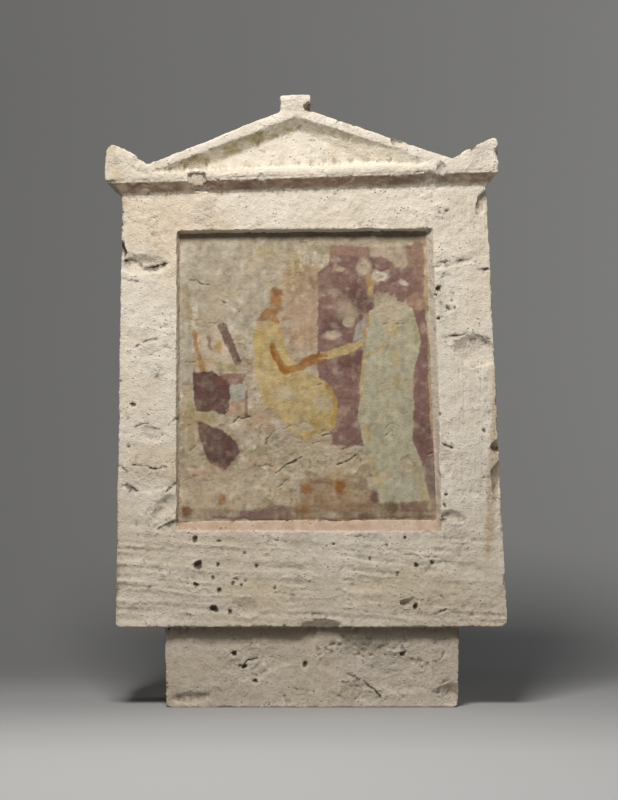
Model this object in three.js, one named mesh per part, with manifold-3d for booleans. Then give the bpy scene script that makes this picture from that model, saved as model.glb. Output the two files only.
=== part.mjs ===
// Painted limestone grave stele shaped like the front of a small shrine: a tenon below, a slab with a
// roughly tooled apron and a sunk picture panel, a cornice, and a pediment with three plain acroteria.
// It is one block of stone. Millimetres, +Z up, the front faces -Y, +X is to the viewer's right.
// The carver worked by eye: the cornice climbs a little to the right, the slab widens towards its
// foot, and the two slopes of the pediment differ.

import * as THREE from "three";
import { ConvexGeometry } from "three/addons/geometries/ConvexGeometry.js";
import { mergeVertices } from "three/addons/utils/BufferGeometryUtils.js";
import Module from "manifold-3d";

const wasm = await Module();
wasm.setup();

const { degToRad } = THREE.MathUtils;

// ---- Driving dimensions -------------------------------------------------------------------------

// Planes from front to back. The cornice stands proud of the slab, and the tenon is set back.
const CORNICE_FRONT = -82.5;
const SLAB_FRONT = -67.5;
const TENON_FRONT = -53.5;
const TENON_BACK = 70;
const BACK = 82.5;

// Heights, taken on the centre line.
const TENON_HEIGHT = 95.4;
const CORNICE_FOOT = 612.8;
const BED_HEIGHT = 13.4; // the sloping bed moulding under the fascia
const GROOVE_HEIGHT = 3; // the scored line between the two
const APEX_HEIGHT = 725;

// Widths, each edge as its distance from the centre line.
const TENON = { left: -167.8, right: 183.2 };
const SLAB_AT_FOOT = { left: -225.4, right: 239.4 };
const SLAB_AT_HEAD = { left: -218.2, right: 214.6 };
const CORNICE = { left: -236.8, right: 228.2 };

// The cornice line and the two slopes of the pediment.
const CORNICE_CLIMB = Math.tan(degToRad(1.69));
const LEFT_SLOPE = Math.tan(degToRad(21.6));
const RIGHT_SLOPE = Math.tan(degToRad(18.6));

// Where each slope starts, in the valley beside its corner acroterion.
const LEFT_VALLEY = { x: -186.5, z: 642.5 };
const RIGHT_VALLEY = { x: 164, z: 652.2 };

// Acroteria: the two corner crests and the square block on the ridge.
const LEFT_CREST = { x: -227.6, z: 665.8 };
const RIGHT_CREST = { x: 220.5, z: 674.3 };
const APEX_BLOCK = { left: -31.8, right: 7, round: 5 };

// The sunk panel for the picture, by its corners on the slab's face and on its own floor.
const PANEL_DEPTH = 12;
const PANEL_MOUTH = [[-151, 563.4], [150.5, 565.9], [160.5, 209.4], [-152, 210.4]];
const PANEL_FLOOR = [[-147.5, 560.1], [141.5, 563.6], [154, 223.4], [-148.5, 222.4]];

// The tympanum, the same way: its mouth is the lower edge of the raking fascia.
const TYMPANUM_DEPTH = 14.5;
const TYMPANUM_MOUTH = [[-11.8, 697.4], [152.4, 642.4], [-183.5, 631.9]];
const TYMPANUM_FLOOR = [[-8.3, 683.8], [72.6, 647.2], [-129.2, 637]];

// Breaks and spalls: the middle of each on its face, how wide and high it opens, how deep it goes and
// how far it is turned, in degrees anticlockwise.
const BREAKS = [
  // left margin, downwards
  { x: -199, z: 526, face: SLAB_FRONT, width: 72, height: 26, depth: 8, turn: -3 },
  { x: -219, z: 541, face: SLAB_FRONT, width: 14, height: 28, depth: 13, turn: 12 },
  { x: -183, z: 325, face: SLAB_FRONT, width: 38, height: 20, depth: 4, turn: -14 },
  { x: -190, z: 269, face: SLAB_FRONT, width: 74, height: 30, depth: 4, turn: -4 },
  { x: -167, z: 236, face: SLAB_FRONT, width: 50, height: 24, depth: 6, turn: 42 },
  // right margin, downwards
  { x: 211, z: 598, face: SLAB_FRONT, width: 18, height: 34, depth: 9, turn: -28 },
  { x: 171, z: 525, face: SLAB_FRONT, width: 62, height: 9, depth: 4, turn: 8 },
  { x: 166, z: 487, face: SLAB_FRONT, width: 28, height: 58, depth: 4, turn: 4 },
  { x: 201, z: 422, face: SLAB_FRONT, width: 62, height: 40, depth: 10, turn: -10 },
  { x: 228, z: 308, face: SLAB_FRONT, width: 20, height: 18, depth: 16, turn: 0 },
  { x: 229, z: 271, face: SLAB_FRONT, width: 22, height: 48, depth: 12, turn: -5 },
  { x: 165, z: 292, face: SLAB_FRONT, width: 20, height: 44, depth: 5, turn: 8 },
  { x: 174, z: 226, face: SLAB_FRONT, width: 38, height: 15, depth: 6, turn: -6 },
  // apron
  { x: -69, z: 120, face: SLAB_FRONT, width: 26, height: 28, depth: 4, turn: -35 },
  { x: 119, z: 124, face: SLAB_FRONT, width: 17, height: 13, depth: 6, turn: 0 },
  { x: 19, z: 96, face: SLAB_FRONT, width: 56, height: 17, depth: 13, turn: 2 },
  { x: 239, z: 150, face: SLAB_FRONT, width: 12, height: 32, depth: 8, turn: 0 },
  { x: 241, z: 93, face: SLAB_FRONT, width: 18, height: 18, depth: 34, turn: 45 },
  { x: -226, z: 93, face: SLAB_FRONT, width: 11, height: 11, depth: 18, turn: 45 },
  // cornice and pediment
  { x: -128, z: 623, face: CORNICE_FRONT, width: 23, height: 32, depth: 8, turn: 8 },
  { x: -51, z: 622, face: CORNICE_FRONT, width: 13, height: 20, depth: 4, turn: 10 },
  { x: 160, z: 633, face: CORNICE_FRONT, width: 11, height: 26, depth: 5, turn: 6 },
  { x: 132, z: 627, face: CORNICE_FRONT, width: 22, height: 8, depth: 3, turn: 2 },
  { x: 107, z: 668, face: CORNICE_FRONT, width: 17, height: 9, depth: 6, turn: -20 },
  { x: 4, z: 708.5, face: CORNICE_FRONT, width: 13, height: 9, depth: 16, turn: -25 },
  { x: 228.5, z: 656, face: CORNICE_FRONT, width: 9, height: 18, depth: 14, turn: 0 },
  // tenon
  { x: 84, z: 46, face: TENON_FRONT, width: 150, height: 62, depth: 6, turn: -13 },
  { x: 173, z: 17, face: TENON_FRONT, width: 38, height: 32, depth: 9, turn: -30 },
  { x: -51, z: 59, face: TENON_FRONT, width: 82, height: 26, depth: 3.5, turn: -8 },
  { x: -136, z: 12, face: TENON_FRONT, width: 52, height: 14, depth: 5, turn: 3 },
];

// ---- Solids from three.js geometries ------------------------------------------------------------

/** A closed geometry as a solid that can be joined and cut. */
function solidFrom(geometry) {
  const bare = geometry.clone();
  bare.deleteAttribute("normal");
  bare.deleteAttribute("uv");
  const merged = mergeVertices(bare, 1e-4);
  const vertProperties = merged.attributes.position.array;
  const triVerts = Uint32Array.from(merged.index.array);
  return new wasm.Manifold(new wasm.Mesh({ numProp: 3, vertProperties, triVerts }));
}

/** A finished solid as a geometry with flat facets. */
function geometryFrom(solid) {
  const { vertProperties, triVerts } = solid.getMesh();
  const geometry = new THREE.BufferGeometry();
  geometry.setAttribute("position", new THREE.BufferAttribute(Float32Array.from(vertProperties), 3));
  geometry.setIndex(new THREE.BufferAttribute(Uint32Array.from(triVerts), 1));
  geometry.computeVertexNormals();
  return geometry;
}

/** A front-view outline in x and z, carried from one depth back to another. */
function throughDepth(outline, front, back) {
  const geometry = new THREE.ExtrudeGeometry(outline, {
    depth: back - front,
    bevelEnabled: false,
    curveSegments: 5,
  });
  geometry.rotateX(Math.PI / 2);
  geometry.translate(0, back, 0);
  return solidFrom(geometry);
}

/** A side-view profile in y and z, run along the whole width and tilted with the cornice. */
function alongWidth(profile) {
  const run = 2 * (SLAB_AT_FOOT.right - CORNICE.left);
  const geometry = new THREE.ExtrudeGeometry(profile, { depth: run, bevelEnabled: false });
  const turnToWidth = new THREE.Matrix4().set(0, 0, 1, -run / 2, 1, 0, 0, 0, 0, 1, 0, 0, 0, 0, 0, 1);
  geometry.applyMatrix4(turnToWidth);
  geometry.translate(0, 0, -CORNICE_FOOT);
  geometry.rotateY(-Math.atan(CORNICE_CLIMB));
  geometry.translate(0, 0, CORNICE_FOOT);
  return solidFrom(geometry);
}

/** A sunk field with splayed sides: the cutter runs on past the face, so that it leaves no skin. */
function sunkField(mouth, floor, face, depth) {
  const proud = 0.4; // the part of the depth by which the cutter stands out in front
  const corners = mouth.flatMap(([x, z], i) => {
    const [floorX, floorZ] = floor[i];
    return [
      new THREE.Vector3(x + (x - floorX) * proud, face - depth * proud, z + (z - floorZ) * proud),
      new THREE.Vector3(floorX, face + depth, floorZ),
    ];
  });
  return solidFrom(new ConvexGeometry(corners));
}

/** A repeatable number from 0 to 1 for one corner of one break. */
function scatter(seed, index) {
  const value = Math.sin(seed * 12.9898 + index * 78.233) * 43758.5453;
  return value - Math.floor(value);
}

/** A break: a rough pebble of air, sunk into a face until it opens to its width and height. */
function breakCutter({ x, z, face, width, height, depth, turn }, seed) {
  const bulk = 1.6; // the pebble's half thickness, in depths
  const opening = Math.sqrt(1 - (1 - 1 / bulk) ** 2);
  const size = new THREE.Vector3(width / 2 / opening, depth * bulk, height / 2 / opening);
  const pebble = new THREE.IcosahedronGeometry(1, 1);
  const { position } = mergeVertices(pebble.deleteAttribute("normal").deleteAttribute("uv")).attributes;
  const corners = Array.from({ length: position.count }, (_, i) => {
    const roughness = 0.84 + 0.22 * scatter(seed, i);
    return new THREE.Vector3().fromBufferAttribute(position, i).multiplyScalar(roughness).multiply(size);
  });
  const geometry = new ConvexGeometry(corners);
  geometry.rotateY(-degToRad(turn));
  geometry.translate(x, face + depth - depth * bulk, z);
  return solidFrom(geometry);
}

// ---- The stele ----------------------------------------------------------------------------------

const corniceLine = (x, height) => height + x * CORNICE_CLIMB;

/** The front outline of the slab, the cornice ends, the raking slopes and the three acroteria. */
function frontOutline() {
  const fasciaFoot = CORNICE_FOOT + BED_HEIGHT + GROOVE_HEIGHT;
  const returnDrop = 2.5; // the right-hand return was cut a little lower than the front
  const { left, right, round } = APEX_BLOCK;
  const leftRidge = LEFT_VALLEY.z + (left - LEFT_VALLEY.x) * LEFT_SLOPE;
  const rightRidge = RIGHT_VALLEY.z + (RIGHT_VALLEY.x - right) * RIGHT_SLOPE;
  const outline = new THREE.Shape();

  outline.moveTo(SLAB_AT_FOOT.left, TENON_HEIGHT);
  outline.lineTo(SLAB_AT_FOOT.right, TENON_HEIGHT);

  // right side, the cornice's return and the broken corner acroterion
  outline.lineTo(SLAB_AT_HEAD.right, corniceLine(SLAB_AT_HEAD.right, CORNICE_FOOT) - returnDrop);
  outline.lineTo(CORNICE.right - 1, corniceLine(CORNICE.right, CORNICE_FOOT + BED_HEIGHT) - returnDrop);
  outline.lineTo(CORNICE.right, corniceLine(CORNICE.right, fasciaFoot));
  outline.lineTo(CORNICE.right, RIGHT_CREST.z - 7);
  outline.quadraticCurveTo(CORNICE.right - 2, RIGHT_CREST.z, RIGHT_CREST.x, RIGHT_CREST.z);
  outline.quadraticCurveTo(RIGHT_VALLEY.x + 33, RIGHT_VALLEY.z + 14, RIGHT_VALLEY.x + 9, RIGHT_VALLEY.z - 3);
  outline.lineTo(RIGHT_VALLEY.x, RIGHT_VALLEY.z);

  // right slope, the block on the ridge and the left slope
  outline.lineTo(right, rightRidge);
  outline.lineTo(right, APEX_HEIGHT - round);
  outline.quadraticCurveTo(right, APEX_HEIGHT, right - round, APEX_HEIGHT);
  outline.lineTo(left + round, APEX_HEIGHT - 1);
  outline.quadraticCurveTo(left, APEX_HEIGHT - 1, left, APEX_HEIGHT - round);
  outline.lineTo(left, leftRidge);
  outline.lineTo(LEFT_VALLEY.x, LEFT_VALLEY.z);

  // left corner acroterion, the cornice's return and the left side
  outline.quadraticCurveTo(LEFT_CREST.x + 23, LEFT_CREST.z - 6, LEFT_CREST.x, LEFT_CREST.z);
  outline.quadraticCurveTo(CORNICE.left + 2, LEFT_CREST.z - 2, CORNICE.left, LEFT_CREST.z - 15);
  outline.lineTo(CORNICE.left, corniceLine(CORNICE.left, fasciaFoot));
  outline.lineTo(CORNICE.left + 2, corniceLine(CORNICE.left, CORNICE_FOOT + BED_HEIGHT));
  outline.lineTo(SLAB_AT_HEAD.left, corniceLine(SLAB_AT_HEAD.left, CORNICE_FOOT));
  outline.closePath();
  return outline;
}

/** The side profile: the slab's face, the bed moulding, the scored groove and the fascia. */
function sideProfile() {
  const top = APEX_HEIGHT + 100;
  const foot = -100;
  const bedTop = CORNICE_FOOT + BED_HEIGHT;
  const fasciaFoot = bedTop + GROOVE_HEIGHT;
  const profile = new THREE.Shape();
  profile.moveTo(SLAB_FRONT, foot);
  profile.lineTo(BACK, foot);
  profile.lineTo(BACK, top);
  profile.lineTo(CORNICE_FRONT, top);
  profile.lineTo(CORNICE_FRONT, fasciaFoot);
  profile.lineTo(CORNICE_FRONT + 1.8, fasciaFoot - 0.8);
  profile.lineTo(CORNICE_FRONT + 1.8, fasciaFoot - 1.8);
  profile.lineTo(CORNICE_FRONT + 0.6, bedTop);
  profile.lineTo(SLAB_FRONT - 1.2, CORNICE_FOOT);
  profile.lineTo(SLAB_FRONT, CORNICE_FOOT + 0.6);
  profile.closePath();
  return profile;
}

/** The tenon that stood in a socket: narrower than the slab, with its lower corners worn round. */
function tenonOutline() {
  const round = 8;
  const { left, right } = TENON;
  const outline = new THREE.Shape();
  outline.moveTo(left + round, 0);
  outline.lineTo(right - round * 1.5, 0);
  outline.quadraticCurveTo(right - 2, 0, right - 1, round);
  outline.lineTo(right, TENON_HEIGHT + 5);
  outline.lineTo(left, TENON_HEIGHT + 5);
  outline.lineTo(left + 1, round);
  outline.quadraticCurveTo(left + 2, 1, left + round, 0);
  outline.closePath();
  return outline;
}

/** The whole block, carved and then broken. */
function steleSolid() {
  const slabAndPediment = throughDepth(frontOutline(), CORNICE_FRONT, BACK).intersect(
    alongWidth(sideProfile()),
  );
  const carved = slabAndPediment
    .add(throughDepth(tenonOutline(), TENON_FRONT, TENON_BACK))
    .subtract(sunkField(PANEL_MOUTH, PANEL_FLOOR, SLAB_FRONT, PANEL_DEPTH))
    .subtract(sunkField(TYMPANUM_MOUTH, TYMPANUM_FLOOR, CORNICE_FRONT, TYMPANUM_DEPTH));
  return BREAKS.reduce((stone, spall, seed) => stone.subtract(breakCutter(spall, seed)), carved);
}

const limestone = new THREE.MeshStandardMaterial({ color: 0xddd0bc, roughness: 0.92, metalness: 0 });
const stele = new THREE.Mesh(geometryFrom(steleSolid()), limestone);
stele.name = "stele";

// The origin is the middle of the foot of the block's bounding box.
stele.geometry.computeBoundingBox();
const box = stele.geometry.boundingBox;
const middle = box.getCenter(new THREE.Vector3());
stele.geometry.translate(-middle.x, -middle.y, -box.min.z);

const group = new THREE.Group();
group.add(stele);

export default group;
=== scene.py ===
import math

import bmesh
import bpy
import numpy as np
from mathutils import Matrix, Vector


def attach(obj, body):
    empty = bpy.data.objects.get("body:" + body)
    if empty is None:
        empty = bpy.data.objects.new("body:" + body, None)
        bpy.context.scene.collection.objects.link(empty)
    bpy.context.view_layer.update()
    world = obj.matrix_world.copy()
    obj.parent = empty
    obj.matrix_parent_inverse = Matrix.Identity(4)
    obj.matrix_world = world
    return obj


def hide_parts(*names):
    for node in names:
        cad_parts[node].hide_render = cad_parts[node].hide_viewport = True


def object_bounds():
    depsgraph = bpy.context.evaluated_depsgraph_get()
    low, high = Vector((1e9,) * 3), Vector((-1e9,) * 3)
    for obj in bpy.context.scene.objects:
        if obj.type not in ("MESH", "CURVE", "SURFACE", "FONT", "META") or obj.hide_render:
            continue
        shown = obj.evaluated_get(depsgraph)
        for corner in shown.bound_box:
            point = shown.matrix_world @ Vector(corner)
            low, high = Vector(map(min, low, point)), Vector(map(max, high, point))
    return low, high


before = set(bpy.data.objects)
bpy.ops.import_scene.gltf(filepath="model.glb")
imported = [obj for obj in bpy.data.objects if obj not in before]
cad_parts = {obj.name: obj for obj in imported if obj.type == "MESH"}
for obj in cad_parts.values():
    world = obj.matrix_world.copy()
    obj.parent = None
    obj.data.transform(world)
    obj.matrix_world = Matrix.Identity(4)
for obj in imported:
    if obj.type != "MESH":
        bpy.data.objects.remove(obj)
CAD_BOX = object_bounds()
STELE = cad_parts["stele"]

bl_info = {
    "name": "Painted grave stele",
    "version": (1, 0, 0),
    "blender": (4, 5, 0),
    "location": "3D View > Sidebar > Stele",
    "description": "Dresses the limestone stele: worn stone, painted picture ground, and a studio stage",
    "category": "Object",
}

# All shape numbers below are in millimetres in the frame of the model, front towards -Y.
MM = 0.001

# The planes and lines that the solid is cut to.
TENON_FRONT = -53.5
SLAB_FRONT = -67.5
FLOOR_FRONT = -55.5
TENON_TOP = 95.4
CORNICE_FOOT = 612.8
CORNICE_CLIMB = math.tan(math.radians(1.69))
PICTURE_FLOOR = ((-149.8, 222.4), (152.7, 223.4), (140.2, 563.6), (-148.8, 560.1))
PICTURE_MOUTH = ((-153.3, 210.4), (159.2, 209.4), (149.2, 565.9), (-152.3, 563.4))
TYMPANUM_MOUTH = ((-184.8, 631.9), (151.1, 642.4), (-13.1, 697.4))

# In front of FRONT_HALF the stone is seen, and in front of FRONT_SKIN it takes the front's damage.
FRONT_HALF = -30
FRONT_SKIN = -45
# Smoothing passes that find how far the small and the large corners stand out.
FINE_PASSES, WIDE_PASSES = 10, 34
# The block is parted this far below the slab's underside and below the cornice's foot.
PARTING_DROP = 1.5
MOST_TRIANGLES = 200000
# The lime plate: room cut for it, thickness, lap under the frame, and its deepest loss.
PLATE_SINK, PLATE_THICK, PLATE_LAP, PLATE_LOSS = 6.6, 6.9, 2.0, 5.5
# The stage, in metres: where the floor starts to curve up, its radius, and how far it reaches.
SWEEP_START, SWEEP_RADIUS, SWEEP_REACH = 0.5, 0.9, 4.0
CAMERA_PLACE, CAMERA_LENS = (0.0028, -3.5675, 0.3643), 133.47

# Stone and paint colours, as sRGB hex.
STONE = "e7ddcd"
PALETTE = {
    "grey lime": "b9b1a1",
    "warm lime": "c4b39a",
    "bright lime": "d8cdb9",
    "slate lime": "aaa899",
    "greenish lime": "b5ae93",
    "pale rose": "b3937a",
    "pale ochre": "bda673",
    "ochre": "b39453",
    "deep ochre": "ad8a3e",
    "ochre haze": "ab9968",
    "olive earth": "9a8c5c",
    "flesh": "a2713f",
    "burnt ochre": "8e5a20",
    "hair brown": "7a4f30",
    "purple": "80605a",
    "deep purple": "5e403b",
    "maroon": "785148",
    "slate": "70645f",
    "umber": "6e5a45",
    "pale umber": "96785a",
}

# Layers of paint on the picture ground, laid one over the other.
# An area has its points and edge softness, a line its points and width, and a spot its x, z,
# half width, half height and turn in degrees. Each ends in how strongly it covers and how patchy it is.
PAINT_LAYERS = (
    ("area", "grey lime",
     ((-156,568), (-8,568), (-53,447), (-108,447), (-138,483), (-152,435)), 10, 0.5, 0.2),
    ("spot", "pale rose", (-4,462,34,50,0), 0.7, 0.3),
    ("spot", "ochre haze", (-48,542,18.9,10.7,-25), 0.45, 0.6),
    ("spot", "ochre haze", (-17,528,8.3,16.6,20), 0.35, 0.6),
    ("spot", "ochre haze", (-36,503,14.2,5.9,0), 0.35, 0.5),
    ("spot", "warm lime", (-120,246,47.4,26.0,0), 0.6, 0.3),
    ("line", "olive earth", ((-143,495), (-139,461)), 7.1, 0.45, 0.3),
    ("line", "olive earth", ((-137,367), (-137,307)), 8.3, 0.5, 0.3),
    ("area", "purple",
     ((29,547), (47,547), (74,545), (115,547), (139,550), (140,483), (143,435), (146,341),
     (154,281), (156,246), (139,246), (77,310), (16,312), (13,341), (13,515), (25,525)), 1.5, 0.95, 0.5),
    ("spot", "pale rose", (52,541,34,9,0), 0.45, 0.5),
    ("spot", "pale rose", (132,530,10,26,0), 0.4, 0.5),
    ("spot", "deep purple", (58,483,16.6,26.0,30), 0.6, 0.6),
    ("spot", "deep purple", (57,412,23.7,16.6,20), 0.7, 0.5),
    ("spot", "deep purple", (32,453,14.2,14.2,0), 0.5, 0.6),
    ("spot", "deep purple", (139,322,9.5,18.9,0), 0.6, 0.5),
    ("spot", "slate", (147,270,7.1,26.0,8), 0.5, 0.4),
    ("area", "warm lime",
     ((75,550), (114,551), (120,528), (112,518), (101,528), (88,534), (76,532)), 3, 0.85, 0.5),
    ("spot", "warm lime", (67,521,9.5,10.7,-20), 0.75, 0.5),
    ("spot", "pale rose", (36,521,5.9,4.7,0), 0.85, 0.2),
    ("spot", "warm lime", (31,493,9.5,4.7,0), 0.45, 0.7),
    ("spot", "warm lime", (48,471,13.0,16.6,30), 0.5, 0.8),
    ("spot", "pale rose", (130,481,9.5,10.7,20), 0.7, 0.5),
    ("spot", "warm lime", (31,441,10.7,5.9,0), 0.8, 0.5),
    ("spot", "pale rose", (50,472,5.9,5.9,0), 0.5, 0.5),
    ("spot", "pale rose", (42,350,10.7,7.1,0), 0.55, 0.7),
    ("area", "pale rose", ((114,393), (132,390), (127,374), (117,369)), 2, 0.7, 0.5),
    ("area", "pale ochre",
     ((-60,455), (-46,458), (-37,455), (-29,442), (-26,425), (-20,414), (13,390), (29,380),
     (36,363), (35,333), (16,317), (-10,317), (-33,348), (-49,358), (-54,371), (-59,386), (-62,397),
     (-62,416), (-66,435)), 2, 0.9, 0.35),
    ("spot", "ochre", (-55,429,7.1,23.7,-5), 0.5, 0.5),
    ("line", "ochre", ((-33,447), (-27,426), (-18,414)), 4.7, 0.55, 0.4),
    ("line", "deep ochre", ((24,381), (32,369), (35,355), (32,336)), 4.7, 0.75, 0.3),
    ("spot", "deep ochre", (8,336,8.3,8.3,0), 0.55, 0.4),
    ("spot", "deep ochre", (6,322,10.7,7.1,20), 0.6, 0.4),
    ("spot", "ochre", (-50,371,4.7,10.7,10), 0.6, 0.4),
    ("spot", "ochre", (-13,389,16.6,8.3,-10), 0.4, 0.5),
    ("spot", "grey lime", (-26,371,16.6,7.1,0), 0.5, 0.5),
    ("spot", "grey lime", (18,362,11.8,10.7,0), 0.4, 0.5),
    ("area", "flesh",
     ((-60,457), (-53,467), (-46,474), (-31,474), (-35,465), (-34,453), (-46,458)), 1.5, 0.9, 0.3),
    ("spot", "flesh", (-36,485,8.9,11.2,-12), 0.95, 0.25),
    ("spot", "hair brown", (-33,491,7.7,6.5,-20), 0.5, 0.3),
    ("line", "flesh",
     ((-40,428), (-36,418), (-30,406), (-23,400), (-9,403), (5,410), (22,418)), 8.9, 0.92, 0.25),
    ("line", "burnt ochre", ((-41,427), (-37,415), (-31,405), (-23,397)), 5.3, 0.75, 0.3),
    ("line", "burnt ochre", ((-8,408), (6,414), (23,419)), 5.3, 0.7, 0.4),
    ("area", "pale ochre",
     ((67,435), (66,429), (53,420), (37,416), (23,413), (13,413), (16,421), (32,425), (45,431)), 1, 0.95, 0.15),
    ("line", "burnt ochre", ((11,415), (23,418)), 4.7, 0.7, 0.5),
    ("area", "greenish lime",
     ((76,472), (69,436), (64,388), (62,351), (66,315), (75,290), (82,247), (111,242), (146,243),
     (140,272), (133,299), (126,315), (126,363), (127,400), (134,419), (134,436), (126,473),
     (105,483)), 1.5, 0.95, 0.2),
    ("area", "slate lime", ((74,468), (70,435), (54,434), (60,454)), 2, 0.75, 0.3),
    ("line", "flesh", ((71,466), (69,440)), 3.6, 0.5, 0.4),
    ("line", "ochre", ((75,464), (69,434), (66,397), (64,364)), 3.6, 0.55, 0.4),
    ("line", "slate lime", ((80,461), (81,429), (76,409)), 5.9, 0.6, 0.4),
    ("line", "ochre", ((94,432), (82,422), (70,415)), 3.6, 0.6, 0.4),
    ("line", "olive earth", ((124,466), (128,447), (131,429)), 4.1, 0.45, 0.5),
    ("spot", "pale ochre", (101,448,8.3,10.7,0), 0.6, 0.3),
    ("spot", "pale ochre", (106,414,7.1,11.8,0), 0.6, 0.5),
    ("spot", "pale ochre", (107,386,9.5,8.3,0), 0.5, 0.5),
    ("spot", "ochre", (72,324,4.1,10.7,0), 0.55, 0.4),
    ("line", "ochre", ((76,303), (80,286), (87,265)), 4.7, 0.5, 0.5),
    ("spot", "pale ochre", (86,272,8.3,7.1,0), 0.5, 0.4),
    ("line", "ochre", ((126,291), (134,267), (140,248)), 5.9, 0.45, 0.4),
    ("line", "olive earth", ((96,367), (96,336)), 1.8, 0.4, 0.3),
    ("line", "olive earth", ((69,382), (69,317)), 1.8, 0.35, 0.3),
    ("line", "olive earth", ((85,364), (88,329)), 1.4, 0.25, 0.3),
    ("line", "slate lime", ((115,421), (117,364), (115,329)), 4.7, 0.5, 0.4),
    ("spot", "slate lime", (113,262,15.4,13.0,0), 0.5, 0.4),
    ("spot", "slate lime", (75,370,7.1,11.8,0), 0.4, 0.4),
    ("spot", "umber", (120,286,8.3,4.1,10), 0.5, 0.5),
    ("spot", "ochre", (75,503,5.9,10.7,10), 0.75, 0.3),
    ("spot", "pale ochre", (76,493,4.7,7.1,0), 0.8, 0.2),
    ("spot", "bright lime", (87,511,8.9,5.9,0), 0.95, 0.1),
    ("line", "deep purple", ((79,521), (87,518), (96,521)), 2.4, 0.6, 0.3),
    ("spot", "bright lime", (115,503,5.9,3.1,-15), 0.7, 0.2),
    ("area", "warm lime", ((-133,445), (-100,452), (-79,409), (-79,397), (-123,396)), 3, 0.8, 0.4),
    ("spot", "slate lime", (-143,427,10.7,23.7,0), 0.5, 0.3),
    ("line", "flesh", ((-133,444), (-130,426), (-125,409), (-121,395)), 5.3, 0.9, 0.3),
    ("spot", "deep ochre", (-104,428,5.9,8.3,0), 0.8, 0.3),
    ("spot", "ochre", (-119,409,11.8,7.1,0), 0.4, 0.5),
    ("line", "purple", ((-117,440), (-116,431), (-112,425)), 3.6, 0.7, 0.4),
    ("line", "deep purple", ((-100,451), (-94,438), (-88,423), (-81,410)), 10.1, 0.85, 0.45),
    ("line", "purple", ((-107,460), (-97,453)), 4.1, 0.7, 0.4),
    ("area", "olive earth", ((-110,409), (-79,407), (-79,399), (-106,399)), 1.5, 0.7, 0.4),
    ("area", "deep purple",
     ((-135,397), (-112,399), (-90,382), (-90,376), (-92,352), (-97,347), (-112,351), (-131,350),
     (-133,370)), 1.2, 0.95, 0.2),
    ("area", "maroon",
     ((-110,391), (-93,397), (-72,396), (-68,381), (-87,382), (-107,382)), 1.5, 0.85, 0.35),
    ("area", "slate lime", ((-90,382), (-72,382), (-72,365), (-80,361), (-90,364)), 1, 0.9, 0.2),
    ("area", "pale rose", ((-91,361), (-72,362), (-72,350), (-92,348)), 1.5, 0.75, 0.3),
    ("line", "maroon", ((-71,381), (-71,347)), 3.6, 0.7, 0.3),
    ("spot", "olive earth", (-118,343,13.0,8.3,0), 0.75, 0.4),
    ("area", "deep purple",
     ((-130,338), (-108,332), (-99,328), (-84,316), (-79,303), (-86,292), (-95,281), (-110,286),
     (-118,298), (-126,317)), 1.5, 0.95, 0.25),
    ("line", "slate", ((-105,319), (-103,293)), 4.7, 0.55, 0.3),
    ("spot", "slate", (-84,300,4.7,8.3,0), 0.55, 0.3),
    ("spot", "pale rose", (-111,281,14.2,9.5,0), 0.6, 0.6),
    ("spot", "purple", (-100,284,7.1,4.7,0), 0.5, 0.5),
    ("spot", "flesh", (-100,270,4.7,5.9,0), 0.5, 0.5),
    ("area", "umber",
     ((-148,238), (-108,235), (-67,234), (-8,239), (158,246), (158,222), (-148,222)), 3, 0.5, 0.5),
    ("area", "pale umber", ((-8,270), (45,271), (77,258), (77,232), (-8,232)), 2.5, 0.75, 0.4),
    ("spot", "burnt ochre", (-100,246,5.3,9.5,0), 0.75, 0.4),
    ("spot", "hair brown", (-142,233,7.1,7.1,0), 0.8, 0.4),
    ("area", "purple",
     ((-79,233), (-58,232), (-46,239), (-21,238), (-21,222), (-79,223)), 1.5, 0.7, 0.5),
    ("line", "maroon", ((-110,225), (-8,223), (156,226)), 2.4, 0.7, 0.5),
    ("spot", "burnt ochre", (0,258,5.9,9.5,0), 0.65, 0.5),
    ("spot", "burnt ochre", (40,262,7.1,8.3,0), 0.8, 0.3),
    ("spot", "burnt ochre", (-3,236,9.5,5.9,0), 0.45, 0.5),
    ("line", "maroon", ((6,267), (30,265)), 3.0, 0.6, 0.5),
    ("spot", "deep purple", (81,248,5.9,9.5,0), 0.85, 0.3),
    ("spot", "umber", (101,236,7.1,10.7,0), 0.9, 0.3),
    ("area", "maroon", ((112,245), (143,245), (143,232), (112,232)), 2, 0.7, 0.5),
    ("spot", "deep purple", (66,264,9.5,8.3,0), 0.5, 0.5),
    ("spot", "umber", (69,227,11.8,3.6,0), 0.6, 0.5),
)

# Places where the paint and its ground are lost: x, z, half width, half height, turn, depth.
LOSSES = (
    (-112,483,28.4,33.2,0,1.0), (96,478,23.7,23.7,0,1.4), (-10,296,45.0,30.8,8,2.2), (16,317,16.6,14.2,10,1.2),
    (56,293,21.3,20.1,0,2.4), (-129,299,15.4,18.9,20,1.6), (-81,343,16.6,9.5,8,1.5), (96,273,16.6,9.5,0,0.8),
    (87,510,8.3,5.3,0,1.2), (117,287,11.8,8.3,10,1.4), (121,378,9.5,10.7,0,0.9), (-67,387,7.1,9.5,-20,0.7),
    (-73,406,7.1,5.9,-10,0.8), (-22,457,9.5,7.1,10,0.6), (-73,281,26.0,7.1,-4,0.6), (40,521,5.9,4.7,0,0.6),
    (34,439,10.7,5.9,0,0.7), (51,457,9.5,11.8,40,0.6), (-144,267,11.8,9.5,20,1.2), (-8,335,26.0,8.3,-6,0.9),
    (-123,441,10.7,4.7,10,0.5), (-79,275,42.6,10.7,2,0.7),
)

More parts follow.
